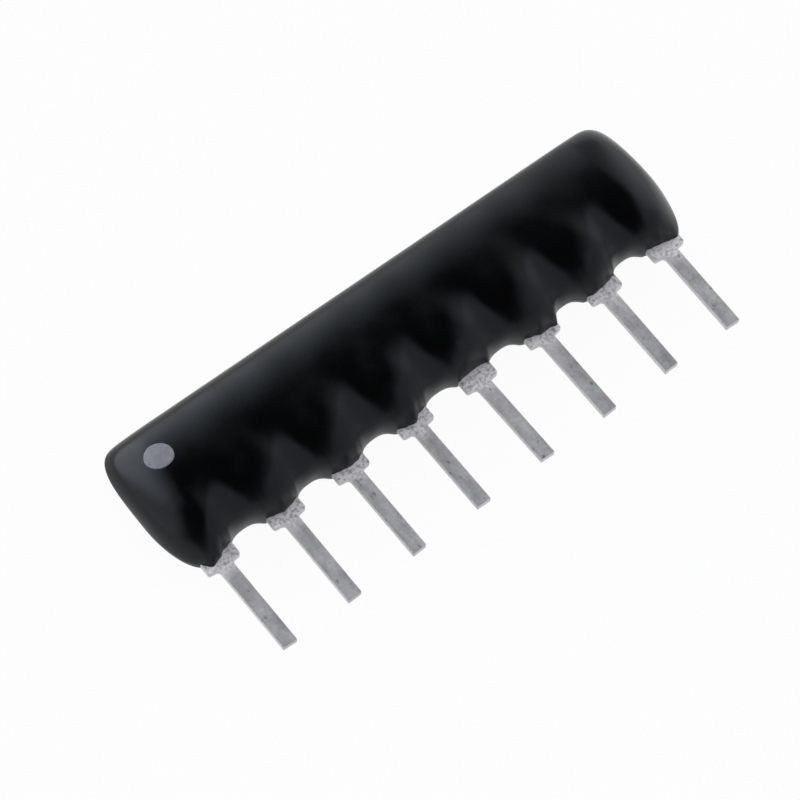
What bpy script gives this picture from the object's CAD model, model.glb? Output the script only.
import math

import bpy
import numpy as np
from mathutils import Matrix


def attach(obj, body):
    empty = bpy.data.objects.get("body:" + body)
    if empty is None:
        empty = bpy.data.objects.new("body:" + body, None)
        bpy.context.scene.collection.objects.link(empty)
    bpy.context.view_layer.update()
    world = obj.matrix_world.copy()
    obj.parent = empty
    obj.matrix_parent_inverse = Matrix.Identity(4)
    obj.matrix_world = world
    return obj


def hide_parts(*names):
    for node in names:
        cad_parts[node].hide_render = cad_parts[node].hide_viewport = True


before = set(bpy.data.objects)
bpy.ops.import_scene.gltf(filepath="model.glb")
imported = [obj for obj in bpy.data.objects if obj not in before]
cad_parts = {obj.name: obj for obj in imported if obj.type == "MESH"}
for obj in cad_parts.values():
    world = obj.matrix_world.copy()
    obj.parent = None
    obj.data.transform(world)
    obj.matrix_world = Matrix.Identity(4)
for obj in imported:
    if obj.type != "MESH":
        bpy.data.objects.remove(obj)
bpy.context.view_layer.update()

# Sizes in millimetres, in the working frame of the part: shoulders' undersides at y = 0 and
# the middle of the lead sheet at z = 0. LAY moves that frame onto the coat's back.
MM = 0.001

# Leads
LEAD_COUNT = 8
LEAD_PITCH = 2.54
PIN_WIDTH = 0.51
SHEET_THICKNESS = 0.25
PIN_LENGTH = 3.18
TIP_CHAMFER = 0.02
SHOULDER_WIDTH = 1.22
SHOULDER_HEIGHT = 0.46
SHOULDER_COVER = 0.12
SHOULDER_RADIUS = 0.08
FILLET_RADIUS = 0.12
UNDERSIDE_DROP = 0.03
UNDERSIDE_RISE = 0.02
EDGE_RADIUS = 0.02
SHARP_ANGLE = math.radians(40)
TIP_LEAN = 0.012
TIP_LEAN_REACH = 0.1
PIN_BOW = 0.015
# How far each lead stands aside at its root and at its tip, and how much longer it was cut.
ROOT_SHIFT = [0.01, 0.0, -0.02, -0.01, -0.005, 0.03, 0.025, 0.045]
TIP_SHIFT = [0.04, 0.0, 0.0, 0.015, 0.04, 0.025, 0.005, -0.005]
EXTRA_LENGTH = [0.11, 0.095, 0.08, 0.055, 0.03, 0.02, 0.02, 0.03]

# Clip fingers
FORK_WIDTH = 1.06
MIDDLE_WIDTH = 0.4
SLIT_WIDTH = 0.08
BEND_RADIUS = 0.1
BEND_ANGLE = math.radians(50)
GRIP_LENGTH = 0.85
FLARE_ANGLE = math.radians(20)
FLARE_LENGTH = 0.12
MIDDLE_JOG = 0.465
OUTER_JOG = 0.445

# Coat
BODY_HEIGHT = 5.29
FALL_HEIGHT = 0.14
COAT_OVERHANG = 1.22
FRONT_DEPTH = 1.2
BACK_DEPTH = 1.0
BULGE_DEPTH = 0.13
BULGE_HEIGHT = 1.64
BULGE_HALF_HEIGHT = 1.04
ARCH_ROLL_HEIGHT = 2.6
ARCH_ROLL_GAIN = 0.35
CLIP_ROLL_HEIGHT = 1.27
LOW_POWER = 2.5
UNEVEN_HEIGHT = 0.35
WAVE_DEPTH = 0.016
TOP_ROLL_HEIGHT = 2.88
END_ROLL_LENGTH = 1.52
WAIST_HEIGHT = 2.5
CORNER_LENGTH = 1.15
LEFT_CORNER_POWER = 3.6
RIGHT_CORNER_POWER = 3.7
RIGHT_STRETCH = 0.045
FOOT_LENGTH = 0.9
FOOT_POWER = 2.0
# Where the coat ends on each lead, at five places from its left end to its right end.
COAT_LINES = np.array([
    [0.32, 0.13, 0.23, 0.40, 0.47], [0.42, 0.35, 0.28, 0.34, 0.43], [0.36, 0.29, 0.24, 0.27, 0.41],
    [0.33, 0.23, 0.17, 0.38, 0.45], [0.46, 0.50, 0.52, 0.52, 0.45], [0.37, 0.29, 0.18, 0.20, 0.12],
    [0.31, 0.26, 0.30, 0.35, 0.43], [0.46, 0.41, 0.35, 0.27, 0.14],
])
# How high the coat arches in each gap between two leads.
ARCH_HEIGHTS = np.array([0.68, 0.66, 0.64, 0.67, 0.66, 0.63, 0.72])

# Ink dot
DOT_RADIUS = 0.475
DOT_OFFSET = 0.34
DOT_HEIGHT = 3.8
INK_THICKNESS = 0.02

# Places that follow from these sizes
ROW_HALF = (LEAD_COUNT - 1) * LEAD_PITCH / 2
COAT_HALF = ROW_HALF + COAT_OVERHANG
DOT_X = DOT_OFFSET - ROW_HALF
LAY = np.array([0.0, (PIN_LENGTH - BODY_HEIGHT) / 2, BACK_DEPTH])


def mix(a, b, t):
    """Straight from one value to another by a share."""
    return a + (b - a) * t


def ease(t):
    """Half a cosine wave that rises from 0 to 1."""
    return (1 - np.cos(np.pi * t)) / 2


def corner(t, power):
    """A rounded-square corner that falls from 1 to 0."""
    return (1 - np.clip(t, 0, 1) ** power) ** (1 / power)


def roll(t, power=2):
    """The same curve turned to rise from 0 to 1."""
    return corner(1 - np.clip(t, 0, 1), power)


def lead_at(x):
    """Which lead, counted from 0, is nearest to each place along the row."""
    return np.clip(np.round((x + ROW_HALF) / LEAD_PITCH), 0, LEAD_COUNT - 1).astype(int)


def beside(x):
    """How far to the right of its nearest lead each place lies."""
    return x + ROW_HALF - lead_at(x) * LEAD_PITCH


def clip_share(x):
    """One wave a pitch: 1 over the middle of a clip and 0 midway between two."""
    return 1 - ease(2 * beside(x) / LEAD_PITCH)


def gap_arch(x):
    """Height of the arch in the gap that each place lies in."""
    return ARCH_HEIGHTS[np.clip(np.floor((x + ROW_HALF) / LEAD_PITCH), 0, LEAD_COUNT - 2).astype(int)]


def foot_line(x):
    """Coat line on a lead, eased from place to place, and an arch between two leads."""
    lead, last = lead_at(x), COAT_LINES.shape[1] - 1
    place = np.clip(last / 2 + last * beside(x) / SHOULDER_WIDTH, 0, last)
    left = np.minimum(place.astype(int), last - 1)
    on_lead = mix(COAT_LINES[lead, left], COAT_LINES[lead, left + 1], ease(place - left))
    between = np.clip((2 * abs(beside(x)) - SHOULDER_WIDTH) / (LEAD_PITCH - SHOULDER_WIDTH), 0, 1)
    return mix(on_lead, gap_arch(x), np.where(abs(x) > ROW_HALF, 0, 1 - (1 - between) ** 3))


def calm_line(x):
    """One wave a pitch, from the mean coat line on a lead to the height of the arch beside it."""
    beyond = np.where(x < 0, COAT_LINES[0, 0], COAT_LINES[-1, -1])
    away = np.where(abs(x) > ROW_HALF, beyond, gap_arch(x))
    return mix(away, COAT_LINES.mean(1)[lead_at(x)], clip_share(x))


def foot_share(x):
    """1 along the row, falling to 0 round the rounded ends."""
    return corner((abs(x) - COAT_HALF + FOOT_LENGTH) / FOOT_LENGTH, FOOT_POWER)


def lower_edge(x):
    """The foot line, drawn up to the waist at the rounded ends."""
    return mix(WAIST_HEIGHT, foot_line(x), foot_share(x))


def corner_power(x):
    """The left corner is rounder than the right one."""
    return np.where(x < 0, LEFT_CORNER_POWER, RIGHT_CORNER_POWER)


def upper_edge(x):
    """A top edge that falls a little from end to end, with rounded-square corners."""
    crest = BODY_HEIGHT - FALL_HEIGHT * (x + COAT_HALF) / (2 * COAT_HALF)
    into_corner = (abs(x) - COAT_HALF + CORNER_LENGTH) / CORNER_LENGTH
    return mix(WAIST_HEIGHT, crest, corner(into_corner, corner_power(x)))


def end_at(x, y):
    """How far out the rounded end stands at each height."""
    into_corner = (y - WAIST_HEIGHT) / (BODY_HEIGHT - WAIST_HEIGHT)
    above = CORNER_LENGTH * (1 - corner(into_corner, corner_power(x)))
    below = FOOT_LENGTH * (1 - corner(1 - y / WAIST_HEIGHT, FOOT_POWER))
    return COAT_HALF - np.where(y > WAIST_HEIGHT, above, below)


def skin_roll(x, y):
    """Product of the rolls in from the top edge, the lower edge and the ends. The unevenness of the
    lower edge dies away with the height above it, so that the roll higher up follows the calm line."""
    full = mix(ARCH_ROLL_HEIGHT + ARCH_ROLL_GAIN * x / COAT_HALF, CLIP_ROLL_HEIGHT, clip_share(x))
    uneven = (foot_line(x) - calm_line(x)) * foot_share(x)
    edge = lower_edge(x) - uneven * (1 - np.exp(-np.maximum(y - lower_edge(x), 0) / UNEVEN_HEIGHT))
    low = mix(CLIP_ROLL_HEIGHT, full - calm_line(x), foot_share(x))
    return (roll((upper_edge(x) - y) / TOP_ROLL_HEIGHT) * roll((y - edge) / low, LOW_POWER)
            * roll((end_at(x, y) - abs(x)) / END_ROLL_LENGTH))


def waves(x, y):
    """A sum of three slanting waves that rise and fall by no more than the wave depth."""
    return WAVE_DEPTH * (0.45 * np.sin(1.7 * x + 0.8 * y) + 0.3 * np.sin(2.9 * x - 1.5 * y + 1.1)
                         + 0.25 * np.sin(4.1 * x + 2.3 * y + 2.6))


def front_skin(x, y):
    """Front depth with a bell-shaped bulge over each clip and a faint waviness, rolled in at the edges."""
    bulge = BULGE_DEPTH * clip_share(x) * np.exp(-((y - BULGE_HEIGHT) / BULGE_HALF_HEIGHT) ** 2)
    return (FRONT_DEPTH + bulge + waves(x, y)) * skin_roll(x, y)


def back_skin(x, y):
    """Back depth with a like waviness drawn inwards only, so that the part still lies on its back."""
    return -(BACK_DEPTH - 0.5 * WAVE_DEPTH + 0.5 * waves(x + 3, y)) * skin_roll(x, y)


def add_piece(name, points, faces, node, material):
    """Makes a smooth mesh in metres from millimetre points, riding on the part for its CAD node."""
    mesh = bpy.data.meshes.new(name)
    mesh.from_pydata((np.asarray(points) + LAY) * MM, [], faces)
    mesh.polygons.foreach_set("use_smooth", np.ones(len(mesh.polygons), dtype=bool))
    mesh.materials.append(material)
    mesh.update()
    piece = bpy.data.objects.new(name, mesh)
    bpy.context.collection.objects.link(piece)
    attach(piece, "root")
    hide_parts(node)
    return piece


def ring_faces(rings, ring):
    """Quads between neighbouring rings of a loft, with each ring closed on itself."""
    k, j = np.meshgrid(np.arange(rings - 1), np.arange(ring), indexing="ij")
    here, far = k * ring + j, k * ring + (j + 1) % ring
    return np.stack([here, here + ring, far + ring, far], -1).reshape(-1, 4)


def fan_faces(tip, ring_points, ring, forward):
    """Triangles from a tip to a ring that starts at a given point."""
    j = np.arange(ring)
    a, b = ring_points + j, ring_points + (j + 1) % ring
    return np.stack([np.full(ring, tip), a, b] if forward else [np.full(ring, tip), b, a], -1).tolist()


def capped_loft(rings, tips):
    """A closed skin through rings of points, with a fan of triangles from one tip to the first ring
    and from another tip to the last."""
    count, ring = rings.shape[:2]
    tip = count * ring
    faces = ring_faces(count, ring).tolist() + fan_faces(tip, 0, ring, True)
    faces += fan_faces(tip + 1, tip - ring, ring, False)
    return np.concatenate([rings.reshape(-1, 3), tips]), faces


def dipped_coat(material):
    """A loft of closed sections across the row. A section runs up the front skin and down the back
    skin, between the lower and the upper edge, with its points drawn together at both edges. Past the
    last lead the sections are spread a little further apart."""
    half_ring, row_stations, end_stations = 90, 350, 34
    end = ROW_HALF + COAT_OVERHANG * np.sin(np.linspace(0, np.pi / 2, end_stations + 1)[1:-1])
    x = np.concatenate([-end[::-1], np.linspace(-ROW_HALF, ROW_HALF, row_stations), end])[:, None]
    t = ease(np.linspace(0, 1, half_ring + 1))[None, :]
    y = mix(lower_edge(x), upper_edge(x), t)
    x = np.broadcast_to(x, y.shape)
    up = np.stack([x, y, front_skin(x, y)], -1)
    down = np.stack([x, y, back_skin(x, y)], -1)[:, -2:0:-1]
    rings = np.concatenate([up, down], 1)
    points, faces = capped_loft(rings, [[-COAT_HALF, WAIST_HEIGHT, 0], [COAT_HALF, WAIST_HEIGHT, 0]])
    points[:, 0] += RIGHT_STRETCH * np.maximum(points[:, 0] - ROW_HALF, 0)
    return add_piece("coat", points, faces, "coating", material)


def lead_half_outline(lean):
    """Half-width and height along one side of a lead, from the corner of its tip up to the shoulder's
    top under the coat: a chamfer, the pin's side, a quarter circle at its root, the shoulder's underside,
    which rises by a hair as it runs out, a quarter circle at its corner and its side. The lean raises
    the tip's corner and dies away up the pin."""
    corner_points, side_points = 7, 28
    half, wide = PIN_WIDTH / 2, SHOULDER_WIDTH / 2
    turn = np.linspace(0, np.pi / 2, corner_points)
    side = np.linspace(TIP_CHAMFER - PIN_LENGTH, -UNDERSIDE_DROP - FILLET_RADIUS, side_points)
    blunt = 0.35 * TIP_CHAMFER
    width = np.concatenate([
        [half - TIP_CHAMFER, half - blunt],
        np.full(side.size - 1, half),
        half + FILLET_RADIUS * (1 - np.cos(turn)),
        [mix(half + FILLET_RADIUS, wide - SHOULDER_RADIUS, 0.5)],
        wide - SHOULDER_RADIUS * (1 - np.sin(turn)),
        [wide, wide],
    ])
    height = np.concatenate([
        [-PIN_LENGTH, blunt - PIN_LENGTH],
        side[:-1],
        -UNDERSIDE_DROP + FILLET_RADIUS * (np.sin(turn) - 1),
        [-UNDERSIDE_DROP + UNDERSIDE_RISE / 2],
        -UNDERSIDE_DROP + UNDERSIDE_RISE + SHOULDER_RADIUS * (1 - np.cos(turn)),
        [SHOULDER_HEIGHT / 2, SHOULDER_HEIGHT + SHOULDER_COVER],
    ])
    return width, height + lean * np.exp(-(height + PIN_LENGTH) / TIP_LEAN_REACH)


def lead_blade(left, right, columns=8, rim=4):
    """The flat of a lead. Its front and back are grids from the left outline to the right one, and rings
    that follow a quarter circle round each edge join the borders of the two grids."""
    share = np.linspace(0, 1, columns + 1)[None, :]
    x = mix(-left[0][:, None], right[0][:, None], share)
    y = mix(left[1][:, None], right[1][:, None], share)
    rows = x.shape[0]
    index = np.arange(x.size).reshape(x.shape)
    border = np.concatenate([index[0, :-1], index[:-1, -1], index[-1, :0:-1], index[:0:-1, 0]])
    edge = np.stack([x.ravel()[border], y.ravel()[border]], -1)
    along = np.roll(edge, -1, 0) - np.roll(edge, 1, 0)
    outward = np.stack([along[:, 1], -along[:, 0]], -1) / np.linalg.norm(along, axis=1, keepdims=True)
    inset = edge - EDGE_RADIUS * outward
    flat = np.stack([x.ravel(), y.ravel()], -1)
    flat[border] = inset
    # Inner columns keep their share of the inset width.
    grid = flat.reshape(rows, columns + 1, 2)
    inner = mix(grid[:, :1], grid[:, -1:], share[..., None])
    grid[1:-1, 1:-1] = inner[1:-1, 1:-1]
    half = SHEET_THICKNESS / 2
    turn = np.linspace(0, np.pi, 2 * rim + 1)[1:-1]
    depth = np.sign(np.cos(turn).round(9)) * (half - EDGE_RADIUS) + EDGE_RADIUS * np.cos(turn)
    loops = [np.column_stack([inset + EDGE_RADIUS * np.sin(a) * outward, np.full(len(border), d)])
             for a, d in zip(turn, depth)]
    front = np.column_stack([grid.reshape(-1, 2), np.full(x.size, half)])
    back = front * [1, 1, -1]
    points = np.concatenate([front, *loops, back])
    cut = np.concatenate([np.zeros(x.size), np.repeat(np.sin(turn), len(border)), np.zeros(x.size)])
    a, b, c, d = index[:-1, :-1], index[:-1, 1:], index[1:, 1:], index[1:, :-1]
    front_faces = np.stack([a, b, c, d], -1).reshape(-1, 4)
    last = x.size + len(loops) * len(border)
    back_faces = np.stack([a, d, c, b], -1).reshape(-1, 4) + last
    between = np.arange(x.size, last).reshape(len(loops), len(border))
    rings = [border, *between, border + last]
    rim_faces = [np.stack([upper, lower, np.roll(lower, -1), np.roll(upper, -1)], -1)
                 for upper, lower in zip(rings[:-1], rings[1:])]
    return points, np.concatenate([front_faces, back_faces, *rim_faces]), cut


def finger_strip(place, width, jog, side):
    """A strip of sheet along a path in the side view: straight out of the shoulder, round one bend and
    back round another onto the plate, along it and round a last bend. The path is laid down by adding up
    steps that turn evenly within each bend."""
    reach = BEND_RADIUS + SHEET_THICKNESS / 2
    slope = (jog - 2 * reach * (1 - math.cos(BEND_ANGLE))) / math.sin(BEND_ANGLE)
    bend_steps, hidden_rings = 8, 9
    # Each run has a length, a turn and a number of steps.
    runs = [
        (EDGE_RADIUS, 0, 1),
        (EDGE_RADIUS, 0, 1),
        (0, BEND_ANGLE, bend_steps),
        (slope, 0, 1),
        (0, -BEND_ANGLE, bend_steps),
        (GRIP_LENGTH, 0, 1),
        (0, FLARE_ANGLE, bend_steps),
        (FLARE_LENGTH, 0, 1),
    ]
    turns = np.concatenate([np.full(n, turn / n) for _, turn, n in runs])
    steps = np.concatenate([np.full(n, length if turn == 0 else 2 * reach * math.sin(abs(turn) / n / 2))
                            for length, turn, n in runs])
    heading = np.concatenate([[0], np.cumsum(turns)])
    middle = (heading[:-1] + heading[1:]) / 2
    y = SHOULDER_HEIGHT - 2 * EDGE_RADIUS + np.concatenate([[0], np.cumsum(steps * np.cos(middle))])
    z = np.concatenate([[0], np.cumsum(steps * np.sin(middle))])
    across = np.array([-1, 1, 1, -1]) * width / 2
    # The first rings lie inside the shoulder and in the first bend, and are thinner than the sheet.
    hidden = np.arange(y.size) < hidden_rings
    thick = np.where(hidden, SHEET_THICKNESS - 2 * EDGE_RADIUS, SHEET_THICKNESS)[:, None]
    through = np.array([-0.5, -0.5, 0.5, 0.5]) * thick
    ring = np.stack([
        np.broadcast_to(place + side * across, (y.size, 4)),
        y[:, None] - np.sin(heading)[:, None] * through,
        side * (z[:, None] + np.cos(heading)[:, None] * through),
    ], -1)
    first, last = np.arange(4)[None, :], np.arange(4)[None, ::-1] + 4 * (y.size - 1)
    return ring.reshape(-1, 3), np.concatenate([ring_faces(y.size, 4), first, last])


def stamped_lead(number, material):
    """One lead: its blade, a little aside, bowed and cut a little askew, and its three fingers. The bow
    grows with the square of the way down the pin, and the shift and the extra length with the way itself.
    A sine of the lead's number varies the lean of its tip and its bow."""
    lean, bow = TIP_LEAN * math.sin(1.7 * number), PIN_BOW * math.sin(4.3 * number)
    points, faces, cut = lead_blade(lead_half_outline(lean), lead_half_outline(-lean))
    way = np.clip(-points[:, 1] / PIN_LENGTH, 0, 1)
    points[:, 0] += mix(ROOT_SHIFT[number - 1], TIP_SHIFT[number - 1], way)
    points[:, 1] -= EXTRA_LENGTH[number - 1] * way
    points[:, 2] += bow * way ** 2
    outer_width = (FORK_WIDTH - MIDDLE_WIDTH) / 2 - SLIT_WIDTH
    outer_place = (FORK_WIDTH - outer_width) / 2
    pieces = [(points, faces), finger_strip(0, MIDDLE_WIDTH, MIDDLE_JOG, 1)]
    pieces += [finger_strip(place, outer_width, OUTER_JOG, -1) for place in (-outer_place, outer_place)]
    starts = np.cumsum([0] + [len(piece[0]) for piece in pieces])
    points = np.concatenate([piece[0] for piece in pieces]) + [(number - 1) * LEAD_PITCH - ROW_HALF, 0, 0]
    faces = np.concatenate([piece[1] + start for piece, start in zip(pieces, starts)]).tolist()
    lead = add_piece(f"tinned_lead_{number}", points, faces, f"lead_{number}", material)
    lead.data.set_sharp_from_angle(angle=SHARP_ANGLE)
    cut_sides = lead.data.attributes.new("cut_side", "FLOAT", "POINT")
    cut_sides.data.foreach_set("value", np.concatenate([cut, np.zeros(len(points) - cut.size)]))
    return lead


def ink_dot(material):
    """A disc of ink on the front skin, in rings from its middle out over a rounded rim and back under
    it. Three waves round the rim let its radius stray a little, and its foot lies under the skin."""
    spokes = 96
    angle = np.linspace(0, 2 * np.pi, spokes, endpoint=False)[None, :]
    radius = DOT_RADIUS * (1 + 0.012 * np.cos(2 * angle + 0.6) + 0.01 * np.cos(3 * angle + 2.1)
                           + 0.006 * np.cos(5 * angle + 4.0))
    top, turn, foot = np.linspace(0.06, 0.9, 14), np.linspace(0.25, np.pi / 2, 6), np.linspace(0.97, 0.1, 5)
    out = np.concatenate([top, 1 - 0.1 * (1 - np.sin(turn)), foot])[:, None]
    rise = INK_THICKNESS * np.concatenate([np.ones(top.size), np.cos(turn), -np.ones(foot.size)])[:, None]
    x = DOT_X + out * radius * np.cos(angle)
    y = DOT_HEIGHT + out * radius * np.sin(angle)
    rings = np.stack([x, y, front_skin(x, y) + rise], -1)
    here = front_skin(np.array([DOT_X]), np.array([DOT_HEIGHT]))[0]
    middles = [[DOT_X, DOT_HEIGHT, here + INK_THICKNESS], [DOT_X, DOT_HEIGHT, here - INK_THICKNESS]]
    points, faces = capped_loft(rings, middles)
    return add_piece("ink_dot", points, faces, "pin_one_dot", material)


def new_material(name, color, roughness, metallic=0.0):
    """A material and its shader, with a plain colour, roughness and metal share."""
    material = bpy.data.materials.new(name)
    material.use_nodes = True
    shader = material.node_tree.nodes["Principled BSDF"]
    shader.inputs["Base Color"].default_value = (*color, 1)
    shader.inputs["Roughness"].default_value = roughness
    shader.inputs["Metallic"].default_value = metallic
    return material, shader


def noise(material, scale, detail=3.0, stretch=(1, 1, 1)):
    """Noise in object space, with its scale in bumps per millimetre."""
    nodes, links = material.node_tree.nodes, material.node_tree.links
    place = nodes.new("ShaderNodeTexCoord")
    mapping = nodes.new("ShaderNodeMapping")
    mapping.inputs["Scale"].default_value = [scale / MM * s for s in stretch]
    pattern = nodes.new("ShaderNodeTexNoise")
    pattern.inputs["Scale"].default_value = 1
    pattern.inputs["Detail"].default_value = detail
    links.new(place.outputs["Object"], mapping.inputs["Vector"])
    links.new(mapping.outputs["Vector"], pattern.inputs["Vector"])
    return pattern.outputs["Fac"]


def ramp(material, value, stops):
    """A colour ramp through (place, colour) stops."""
    node = material.node_tree.nodes.new("ShaderNodeValToRGB")
    while len(node.color_ramp.elements) < len(stops):
        node.color_ramp.elements.new(0.5)
    for element, (place, color) in zip(node.color_ramp.elements, stops):
        element.position = place
        element.color = (*color, 1)
    material.node_tree.links.new(value, node.inputs["Fac"])
    return node.outputs["Color"]


def grey(level):
    """A colour without a tint."""
    return (level, level, level)


def bump(material, shader, value, depth, strength=1.0):
    """Raises the surface by a pattern, with its depth in millimetres."""
    node = material.node_tree.nodes.new("ShaderNodeBump")
    node.inputs["Distance"].default_value = depth * MM
    node.inputs["Strength"].default_value = strength
    material.node_tree.links.new(value, node.inputs["Height"])
    material.node_tree.links.new(node.outputs["Normal"], shader.inputs["Normal"])


def times(material, first, second):
    """The product of two colours or values."""
    node = material.node_tree.nodes.new("ShaderNodeMix")
    node.data_type = "RGBA"
    node.blend_type = "MULTIPLY"
    node.inputs["Factor"].default_value = 1
    material.node_tree.links.new(first, node.inputs["A"])
    material.node_tree.links.new(second, node.inputs["B"])
    return node.outputs["Result"]


def blend(material, share, first, second):
    """Goes from one colour to another by a share."""
    node = material.node_tree.nodes.new("ShaderNodeMix")
    node.data_type = "RGBA"
    material.node_tree.links.new(share, node.inputs["Factor"])
    material.node_tree.links.new(first, node.inputs["A"])
    material.node_tree.links.new(second, node.inputs["B"])
    return node.outputs["Result"]


def height_share(material, low, high):
    """A share that rises from 0 to 1 between two heights in the working frame."""
    nodes, links = material.node_tree.nodes, material.node_tree.links
    place = nodes.new("ShaderNodeTexCoord")
    split = nodes.new("ShaderNodeSeparateXYZ")
    links.new(place.outputs["Object"], split.inputs["Vector"])
    span = nodes.new("ShaderNodeMapRange")
    span.inputs["From Min"].default_value = (low + LAY[1]) * MM
    span.inputs["From Max"].default_value = (high + LAY[1]) * MM
    links.new(split.outputs["Y"], span.inputs["Value"])
    return span.outputs["Result"]


def black_epoxy():
    """Glossy black, with a faint mottle, that goes duller towards the lower edge."""
    material, shader = new_material("black_epoxy", (0.002, 0.002, 0.002), 0.3)
    shader.inputs["Specular IOR Level"].default_value = 0.27
    shader.inputs["Specular Tint"].default_value = (0.84, 0.93, 1.0, 1)
    link = material.node_tree.links.new
    mottle = [(0.3, (0.0002, 0.0002, 0.0003)), (0.7, (0.0005, 0.0005, 0.0006))]
    link(ramp(material, noise(material, 0.6), mottle), shader.inputs["Base Color"])
    pattern = noise(material, 1.6)
    gloss = ramp(material, pattern, [(0.3, grey(0.14)), (0.7, grey(0.2))])
    dull = ramp(material, pattern, [(0.3, grey(0.34)), (0.7, grey(0.44))])
    link(blend(material, height_share(material, 0.5, 1.5), dull, gloss), shader.inputs["Roughness"])
    bump(material, shader, noise(material, 5.0, 4.0), 0.01, 0.15)
    return material


def tinned_lead():
    """Dull tin that is paler and more speckled at the shoulders, with streaks along the pins, a few
    pits and cut sides of one even tone."""
    material, shader = new_material("tinned_lead", (0.4, 0.4, 0.41), 0.42, 1.0)
    nodes, link = material.node_tree.nodes, material.node_tree.links.new
    tone = ramp(material, height_share(material, -1.2, 0.1),
                [(0.0, grey(0.51)), (0.5, grey(0.61)), (0.8, grey(0.86)), (1.0, grey(0.95))])
    streaks = ramp(material, noise(material, 2.6, 4.0, (1, 0.35, 1)),
                   [(0.25, grey(0.76)), (0.5, grey(1.0)), (0.75, grey(1.18))])
    pits = ramp(material, noise(material, 5.5, 2.0, (1, 0.6, 1)), [(0.27, grey(0.55)), (0.36, grey(1.0))])
    fine = noise(material, 9.0)
    speckle = ramp(material, fine, [(0.3, grey(0.62)), (0.5, grey(1.0)), (0.7, grey(1.3))])
    plain = ramp(material, fine, [(0.3, grey(0.92)), (0.7, grey(1.06))])
    grain = blend(material, height_share(material, -0.3, 0.0), plain, speckle)
    flat = times(material, times(material, times(material, tone, streaks), pits), grain)
    coarse = noise(material, 4.0)
    cut_tone = ramp(material, coarse, [(0.3, grey(0.64)), (0.7, grey(0.76))])
    cut = nodes.new("ShaderNodeAttribute")
    cut.attribute_name = "cut_side"
    link(blend(material, cut.outputs["Fac"], flat, cut_tone), shader.inputs["Base Color"])
    link(ramp(material, coarse, [(0.3, grey(0.7)), (0.7, grey(0.84))]), shader.inputs["Roughness"])
    bump(material, shader, noise(material, 9.0, 4.0, (1, 0.4, 1)), 0.012, 0.6)
    return material


def plain_finish(name, low, high, roughness, metallic=0.0, scale=3.0):
    """A finish that mottles between two tones."""
    material, shader = new_material(name, high, roughness, metallic)
    pattern = noise(material, scale)
    tone = ramp(material, pattern, [(0.3, low), (0.7, high)])
    material.node_tree.links.new(tone, shader.inputs["Base Color"])
    bump(material, shader, pattern, 0.004, 0.4)
    return material


def white_floor():
    """A wide white table that keeps a faint shadow: it shines by itself to the camera and in gloss."""
    half, own_light = 2.0, 0.95
    corners = [(-half, -half, 0), (half, -half, 0), (half, half, 0), (-half, half, 0)]
    mesh = bpy.data.meshes.new("floor")
    mesh.from_pydata(corners, [], [(0, 1, 2, 3)])
    floor = bpy.data.objects.new("floor", mesh)
    bpy.context.collection.objects.link(floor)
    material, shader = new_material("white_table", grey(0.9), 0.9)
    nodes, links = material.node_tree.nodes, material.node_tree.links
    path = nodes.new("ShaderNodeLightPath")
    seen = path.outputs["Is Camera Ray"]
    for kind in ("Is Glossy Ray", "Is Transmission Ray"):
        either = nodes.new("ShaderNodeMath")
        either.operation = "MAXIMUM"
        links.new(seen, either.inputs[0])
        links.new(path.outputs[kind], either.inputs[1])
        seen = either.outputs[0]
    share = nodes.new("ShaderNodeMath")
    share.operation = "MULTIPLY"
    share.inputs[1].default_value = own_light
    links.new(seen, share.inputs[0])
    glow = nodes.new("ShaderNodeEmission")
    mixed = nodes.new("ShaderNodeMixShader")
    links.new(share.outputs[0], mixed.inputs["Fac"])
    links.new(shader.outputs["BSDF"], mixed.inputs[1])
    links.new(glow.outputs["Emission"], mixed.inputs[2])
    links.new(mixed.outputs["Shader"], nodes["Material Output"].inputs["Surface"])
    mesh.materials.append(material)


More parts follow.
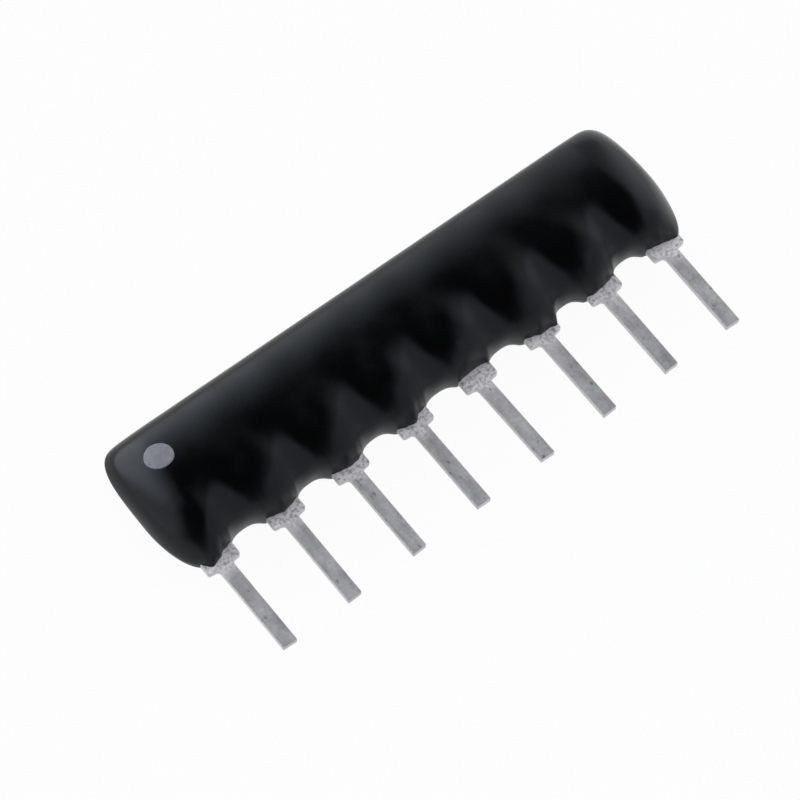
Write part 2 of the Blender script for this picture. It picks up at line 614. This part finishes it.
def studio_light():
    """A dim room with a few large soft-edged sheets of light that add up, above a white sweep round the
    table. A sheet is given by the direction of its middle, its strength, and the angles in degrees from
    that middle at which it starts to fade and is gone."""
    room_level = 0.064
    sheets = [
        ((-0.61, 0.77, -0.18), (1.24, 1.18, 1.23), 48, 69),
        ((0.76, -0.65, 0.06), (0.76, 0.75, 0.81), 69, 89),
        ((0.79, 0.58, 0.2), (0.54, 0.54, 0.55), 27, 46),
        ((-0.27, 0.88, 0.39), (1.88, 2.02, 2.18), 12, 43),
    ]
    sweep = ((0.0, 0.0, -1.0), (1.0, 1.0, 1.0), 90, 103)
    world = bpy.data.worlds.new("studio")
    world.use_nodes = True
    bpy.context.scene.world = world
    nodes, links = world.node_tree.nodes, world.node_tree.links
    place = nodes.new("ShaderNodeTexCoord")
    total = nodes.new("ShaderNodeCombineXYZ").outputs["Vector"]
    for socket in total.node.inputs:
        socket.default_value = room_level
    joins = ["ADD"] * len(sheets) + ["MAXIMUM"]
    for (middle, strength, inner, outer), join in zip([*sheets, sweep], joins):
        along = nodes.new("ShaderNodeVectorMath")
        along.operation = "DOT_PRODUCT"
        along.inputs[1].default_value = middle
        links.new(place.outputs["Generated"], along.inputs[0])
        edge = nodes.new("ShaderNodeMapRange")
        edge.interpolation_type = "SMOOTHSTEP"
        edge.inputs["From Min"].default_value = math.cos(math.radians(outer))
        edge.inputs["From Max"].default_value = math.cos(math.radians(inner))
        links.new(along.outputs["Value"], edge.inputs["Value"])
        sheet = nodes.new("ShaderNodeVectorMath")
        sheet.operation = "MULTIPLY"
        sheet.inputs[1].default_value = strength
        links.new(edge.outputs["Result"], sheet.inputs[0])
        joined = nodes.new("ShaderNodeVectorMath")
        joined.operation = join
        links.new(total, joined.inputs[0])
        links.new(sheet.outputs["Vector"], joined.inputs[1])
        total = joined.outputs["Vector"]
    links.new(total, nodes["Background"].inputs["Color"])


def photo_camera():
    """The camera that the lead tips, the shoulders and the body's outline were fitted with."""
    lens_pixels, frame_pixels, sensor = 3607.1, 800, 36.0
    place = np.array([-32.317, -34.449, 102.836 + SHEET_THICKNESS / 2]) + LAY
    axes = np.array([
        [0.78761, -0.61564, 0.02560],
        [0.55137, 0.72272, 0.41674],
        [-0.27506, -0.31411, 0.90867],
    ])
    data = bpy.data.cameras.new("camera")
    data.sensor_width = sensor
    data.lens = lens_pixels / frame_pixels * sensor
    data.clip_start = 0.01
    camera = bpy.data.objects.new("camera", data)
    matrix = Matrix(axes.T.tolist()).to_4x4()
    matrix.translation = place * MM
    camera.matrix_world = matrix
    bpy.context.collection.objects.link(camera)
    bpy.context.scene.camera = camera


# Pieces in place of the CAD shapes
coat_finish = black_epoxy()
lead_finish = tinned_lead()
ink_finish = plain_finish("mark_ink", (0.152, 0.161, 0.181), (0.21, 0.22, 0.246), 0.5, scale=6.0)
dipped_coat(coat_finish)
for number in range(1, LEAD_COUNT + 1):
    stamped_lead(number, lead_finish)
ink_dot(ink_finish)

# Finishes of the CAD shapes, by the kind of piece
silver = plain_finish("silver_film", (0.42, 0.41, 0.38), (0.52, 0.51, 0.47), 0.45, 1.0)
finishes = {
    "coating": coat_finish,
    "lead": lead_finish,
    "pin_one_dot": ink_finish,
    "substrate": plain_finish("alumina", (0.8, 0.78, 0.71), (0.88, 0.86, 0.79), 0.6),
    "common_bus": silver,
    "pad": silver,
    "overglaze": plain_finish("glass_glaze", (0.06, 0.12, 0.09), (0.09, 0.17, 0.12), 0.15),
    "resistor": plain_finish("resistor_ink", (0.018, 0.018, 0.02), (0.03, 0.03, 0.033), 0.6),
    "solder": plain_finish("solder", (0.4, 0.41, 0.42), (0.52, 0.53, 0.54), 0.3, 1.0),
}
for name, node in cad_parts.items():
    kind = name.rsplit("_", 1)[0] if name[-1].isdigit() else name
    node.data.materials.clear()
    node.data.materials.append(finishes[kind])

# Stage
white_floor()
studio_light()
photo_camera()
bpy.context.scene.view_settings.view_transform = "Standard"
